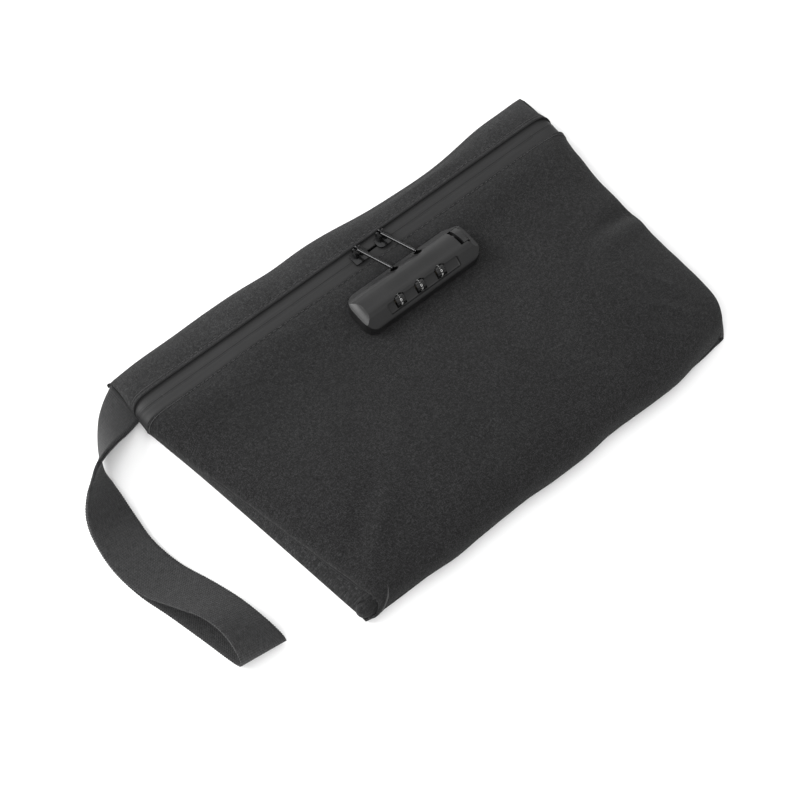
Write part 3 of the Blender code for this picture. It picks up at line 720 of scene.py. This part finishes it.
def corner_tip():
    """The boxed corner's turned tip, a soft knob of doubled cloth at the left bottom corner."""
    def surface(s, t):
        turn = math.radians(235 + 95 * s)
        rise = math.radians(80 - 118 * t)
        reach = math.cos(rise)
        x = -111.5 + 7.6 * reach * math.cos(turn)
        y = -86.6 + 5.4 * reach * math.sin(turn)
        return x, y, 5.2 + 5.6 * math.sin(rise)

    def relief(point, s, t):
        return 0.3 * rolling(point.x, point.y, 4, 9.1)

    tip = cloth_sheet("corner_tip", surface, 40, 30, relief, 0.6)
    wear(tip, CLOTH_FRONT, "bag")


def seam_pipings():
    """The rolled edges beside the zip, along the band and along the front panel."""
    for name, surface, relief, outward in (
        ("band", band_surface, band_relief, -1),
        ("front", front_surface, front_relief, 1),
    ):
        line = surface_line(surface, relief, 0.0, 1.0, outward)
        points = []
        for i in range(181):
            here, out = line(i / 180)
            points.append(here - out * (FABRIC / 2))
        piping = tube(f"piping_{name}", points, FABRIC * 0.52, 12)
        # The band's piping takes the band's cloth, painted lighter for the light on the band.
        wear(piping, CLOTH_BAND_PAINTED_LIGHTER if name == "band" else CLOTH_FRONT, "bag")


# ---------------------------------------------------------------- the zip


def end_drop(x):
    """How far the tapes sink towards a side seam, in step with the cloth edges beside them."""
    fall = ZIP_OUTER_Z - BAND_SIDE[0][1]
    return fall * (1 - math.sqrt(1 - min(abs(x) / HALF_LENGTH, 1.0) ** EDGE_ROUNDNESS))


def zip_tapes():
    """Each tape is crowned over the coil under it and dips into the side seams."""
    for name, side in (("upper", 1), ("lower", -1)):
        low, high = box_of(f"zip_tape_{name}")
        inner, outer = (low.y, high.y) if side > 0 else (high.y, low.y)

        def surface(s, t, inner=inner, outer=outer):
            x = math.sin(s * math.pi / 2) * (HALF_LENGTH - 0.1)
            y = inner + (outer - inner) * t
            roll = 0.28 * math.cos(min(t * 3.2, 1.0) * math.pi / 2)
            return x, y, high.z - 0.28 + roll - end_drop(x)

        def relief(point, s, t):
            return 0.05 * rolling(point.x, point.y, 6, 2.0)

        tape = cloth_sheet(f"tape_{name}", surface, 220, 14, relief, 0.5, flip=side > 0)
        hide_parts(f"zip_tape_{name}")
        wear(tape, TAPE_FILM, "bag")


def no_relief(point, s, t):
    return 0.0


def closed_line(t):
    """Y and Z across the line where shut tapes meet: crowned, with a fine groove down its middle."""
    off = t - 0.5
    crown = 0.16 * math.cos(off * math.pi) - 0.34 * math.exp(-((off / 0.07) ** 2))
    return ZIP_Y + CLOSED_WIDTH * off, ZIP_Z + 0.25 + crown


def closed_chain():
    """Where the zip is shut its tapes meet in a fine line, here from each chain end up to its slider."""
    for side, start, end in (("left", -CHAIN_HALF, SLIDER_X[0]), ("right", CHAIN_HALF, SLIDER_X[1])):
        low, high = min(start, end), max(start, end)

        def surface(s, t, low=low, high=high):
            x = (low + high) / 2 + (high - low) / 2 * s
            y, z = closed_line(t)
            return x, y, z

        strip = cloth_sheet(f"closed_chain_{side}", surface, 160, 16, no_relief, 0.3, flip=True)
        wear(strip, TAPE_FILM, "bag")
        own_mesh(strip)


def closed_ends():
    """Past the chain's stops the tapes are sewn together and dip into the side seams."""
    for side, outward in (("left", -1), ("right", 1)):
        def surface(s, t, outward=outward):
            x = outward * (CHAIN_HALF + SEWN_END_HALF + SEWN_END_HALF * s * outward)
            y, z = closed_line(t)
            return x, y, z - end_drop(x)

        strip = cloth_sheet(f"closed_end_{side}", surface, 30, 16, no_relief, 0.3, flip=True)
        wear(strip, TAPE_FILM, "bag")


def zip_coils():
    """Each coil half is a run of looped teeth sewn to the back of its tape."""
    pitch = 1.6
    for name, side in (("upper", 1), ("lower", -1)):
        low, high = box_of(f"zip_coil_{name}")
        mid_y, mid_z = (low.y + high.y) / 2, (low.z + high.z) / 2
        half_y, half_z = (high.y - low.y) / 2 - 0.2, (high.z - low.z) / 2 - 0.2
        turns = int((high.x - low.x - 1) / pitch)
        points = []
        for i in range(turns * 8 + 1):
            angle = 2 * math.pi * i / 8
            x = low.x + 0.5 + pitch * i / 8
            points.append((x, mid_y + half_y * math.cos(angle) * -side, mid_z + half_z * math.sin(angle)))
        coil = tube(f"coil_{name}", points, 0.22, 8)
        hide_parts(f"zip_coil_{name}")
        wear(coil, COIL, "bag")


def zip_metal():
    for name in ("zip_stop_left", "zip_stop_right"):
        wear(softened(name, 0.12), PLATED, "bag")
    for side in ("left", "right"):
        wear(softened(f"slider_{side}", 0.14, 3), PLATED, f"slider_{side}")
        wear(softened(f"pull_{side}", 0.12, 2), PLATED, f"pull_{side}")


# ---------------------------------------------------------------- the lock


def lock_shell():
    wear(softened("lock_cover", 0.28, 3, 34.0), LOCK_PLASTIC, "bag")
    wear(softened("release_button", 0.22, 3, 34.0), LOCK_PLASTIC, "release")


def dial_figures(number, body):
    """The figures 0 to 9 printed round one dial, bent to its curve."""
    low, high = box_of(f"dial_{number}")
    centre = (low + high) / 2
    radius = (high.z - low.z) / 2
    shape = bmesh.new()
    for figure in range(10):
        text = bpy.data.curves.new("figure", "FONT")
        text.body = str(figure)
        text.size = 2.3
        text.align_x = "CENTER"
        text.align_y = "CENTER"
        text.extrude = 0.03
        text.resolution_u = 4
        drawn = add_object("figure", text)
        bpy.context.view_layer.update()
        graph = bpy.context.evaluated_depsgraph_get()
        mesh = bpy.data.meshes.new_from_object(drawn.evaluated_get(graph))
        bpy.data.objects.remove(drawn, do_unlink=True)
        middle_y = sum(v.co.y for v in mesh.vertices) / len(mesh.vertices)
        middle_x = sum(v.co.x for v in mesh.vertices) / len(mesh.vertices)
        for point in mesh.vertices:
            angle = math.radians(45 + 36 * figure) + (point.co.y - middle_y) / radius
            reach = radius + 0.02 + point.co.z
            point.co = Vector((
                centre.x + point.co.x - middle_x,
                centre.y - math.cos(angle) * reach,
                centre.z + math.sin(angle) * reach,
            )) * MM
        shape.from_mesh(mesh)
        bpy.data.meshes.remove(mesh)
    made = bpy.data.meshes.new(f"figures_{number}")
    shape.to_mesh(made)
    shape.free()
    return wear(add_object(f"figures_{number}", made), FIGURE, body)


def dials():
    for number in (1, 2, 3):
        body = f"dial_{number}"
        wear(softened(f"dial_{number}", 0.12, 2), DIAL_PLASTIC, body)
        dial_figures(number, body)


def springs():
    """The latch spring as a softened steel copy with a mesh of its own; in the lock it shortens as the
    release tab pushes the latch bar against it.
    """
    spring = softened("latch_spring", 0.03, 1, 60.0)
    wear(spring, STEEL, "bag")
    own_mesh(spring)


def hidden_works():
    """The works and the back lining stay as the frame has them, in their own finishes."""
    finishes = {
        "lining_back": LINING, "lock_base": LOCK_PLASTIC, "lock_backplate": STEEL,
        "lock_screw_left": STEEL, "lock_screw_right": STEEL, "dial_shaft": STEEL, "detent_spring": STEEL,
        "latch_bar": STEEL,
        "dial_sleeve_1": BRASS, "dial_sleeve_2": BRASS, "dial_sleeve_3": BRASS,
    }
    for node, material in finishes.items():
        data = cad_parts[node].data
        if not data.materials:
            data.materials.append(material)
        for place in range(len(data.materials)):
            data.materials[place] = material


# ---------------------------------------------------------------- the wrist strap

# Stations of the doubled strap: x, y, z of its middle, how far its outer edge leans up,
# and the bearing of its outer edge in plan. It leaves the seam flat, makes half a turn, and lies down
STRAP_RUN = [
    (-139.0, 76.8, 3.4, 0, 90), (-148.5, 71.8, 5.6, -16, 88), (-157.0, 66.0, 8.8, -35, 85),
    (-166.0, 57.7, 11.6, -56, 76), (-172.8, 50.0, 12.6, -64, 50), (-177.4, 42.2, 11.4, -53, 18),
    (-181.4, 32.5, 8.2, -32, 2), (-183.6, 21, 5.4, -15, 0), (-184.3, 6, 3.6, -8, 3),
]
UPPER_RUN = [(-181, -12, 4.4, -8, 4), (-174, -31, 10.2, -20, 2), (-168.6, -47, 15.2, -30, -2),
             (-165.8, -62, 15.4, -28, -5)]
FOLD = [(-165.2, -72.6, 8.6, -12, -6), (-166.6, -69.5, 2.2, -1, -6)]
LOWER_RUN = [(-171.5, -48, 0.9, 0, -2), (-176.5, -28, 0.9, 0, 2), (-181.6, -10, 1.0, 0, 4)]


def strap_path():
    """The whole run: out along the upper layer, round the fold and back along the lower one."""
    out = [(*station, 1) for station in STRAP_RUN] + [(*station, 0) for station in UPPER_RUN + FOLD]
    back = [(*station, 0) for station in LOWER_RUN] + [(*station, -1) for station in reversed(STRAP_RUN)]
    return out + back


STRAP_PATH = strap_path()


def strap_point(s, t):
    """A point of the webbing's middle surface: s across its width and t along its run."""
    x, y, z, lean, bearing, layer = smooth_curve(STRAP_PATH, t)
    tilt, turn = math.radians(lean), math.radians(bearing)
    width = Vector((math.cos(turn) * math.cos(tilt), math.sin(turn) * math.cos(tilt), math.sin(tilt)))
    face = Vector((-math.cos(turn) * math.sin(tilt), -math.sin(turn) * math.sin(tilt), math.cos(tilt)))
    return Vector((x, y, z)) + face * LAYER_OFFSET * layer + width * (s * STRAP_WIDTH / 2)


def strap_lengths(count):
    """Millimetres of webbing run up to each of count + 1 even steps of t."""
    total, lengths = 0.0, [0.0]
    last = strap_point(0, 0)
    for i in range(1, count + 1):
        here = strap_point(0, i / count)
        total += (here - last).length
        lengths.append(total)
        last = here
    return lengths


def wrist_strap():
    """The webbing, evenly meshed along its run so that its edge picks come out alike."""
    steps = 2000
    lengths = strap_lengths(steps)
    rows, columns = int(lengths[-1] / (WEBBING_PITCH / 4)), 12
    mesh = bpy.data.meshes.new("wrist_webbing")
    shape = bmesh.new()
    uv = shape.loops.layers.uv.new("weave")
    grid, place = [], 0
    for j in range(rows + 1):
        run = lengths[-1] * j / rows
        while place < steps - 1 and lengths[place + 1] < run:
            place += 1
        part = (run - lengths[place]) / max(lengths[place + 1] - lengths[place], 1e-6)
        t = (place + part) / steps
        pick = 0.011 * math.sin(2 * math.pi * run / WEBBING_PITCH)
        line = []
        for i in range(columns + 1):
            s = 2 * i / columns - 1
            stretch = 1 + pick if abs(s) == 1 else 1
            line.append((shape.verts.new(strap_point(s * stretch * 0.99, t) * MM), s, run))
        grid.append(line)
    for j in range(rows):
        for i in range(columns):
            corners = (grid[j][i], grid[j + 1][i], grid[j + 1][i + 1], grid[j][i + 1])
            face = shape.faces.new([corner[0] for corner in corners])
            face.smooth = True
            for loop, (_, s, run) in zip(face.loops, corners):
                loop[uv].uv = (s * STRAP_WIDTH / 2, run)
    bmesh.ops.recalc_face_normals(shape, faces=shape.faces)
    shape.to_mesh(mesh)
    shape.free()
    item = add_object("wrist_webbing", mesh)
    solid = item.modifiers.new("Thickness", "SOLIDIFY")
    solid.thickness = WEBBING * MM
    solid.offset = 0.0
    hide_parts("wrist_strap")
    wear(item, WEBBING_WEAVE, "bag")


# ---------------------------------------------------------------- the studio


def studio():
    """A pale floor, white air and soft light from above."""
    bpy.ops.mesh.primitive_plane_add(size=6.0, location=(0, 0, -0.0004))
    floor = bpy.context.object
    floor.name = "studio_floor"
    floor.data.materials.append(floor_material())
    world = bpy.data.worlds.new("studio_air")
    world.use_nodes = True
    world.node_tree.nodes["Background"].inputs["Color"].default_value = (1, 1, 1, 1)
    world.node_tree.nodes["Background"].inputs["Strength"].default_value = 0.85
    bpy.context.scene.world = world
    for name, where, size, power in (
        ("key_light", (-1.0, 1.15, 0.95), 1.0, 36.0),
        ("fill_light", (-0.9, -0.9, 1.1), 1.2, 14.0),
        ("top_light", (0.1, 0.2, 1.9), 1.6, 8.0),
    ):
        data = bpy.data.lights.new(name, "AREA")
        data.size = size
        data.energy = power
        lamp = add_object(name, data)
        lamp.location = where
        lamp.rotation_euler = (Vector((0, 0, 0)) - Vector(where)).to_track_quat("-Z", "Y").to_euler()


def camera():
    azimuth, elevation, distance = math.radians(-39.4), math.radians(64.0), 909.0
    target = Vector((-29.0, -9.2, 0.0))
    forward = Vector((
        -math.sin(azimuth) * math.cos(elevation),
        math.cos(azimuth) * math.cos(elevation),
        -math.sin(elevation),
    ))
    data = bpy.data.cameras.new("camera")
    data.lens = 80.0
    data.sensor_width = 36.0
    eye = add_object("camera", data)
    eye.location = (target - forward * distance) * MM
    eye.rotation_euler = forward.to_track_quat("-Z", "Y").to_euler()
    bpy.context.scene.camera = eye
    bpy.context.scene.view_settings.view_transform = "Standard"


def dress():
    sewn_panels()
    lining()
    seam_pipings()
    side_seams()
    bottom_seam()
    corner_seam()
    corner_tip()
    stitching()
    zip_tapes()
    closed_chain()
    closed_ends()
    zip_coils()
    zip_metal()
    lock_shell()
    dials()
    springs()
    hidden_works()
    wrist_strap()
    studio()
    camera()


dress()
bpy.context.view_layer.update()
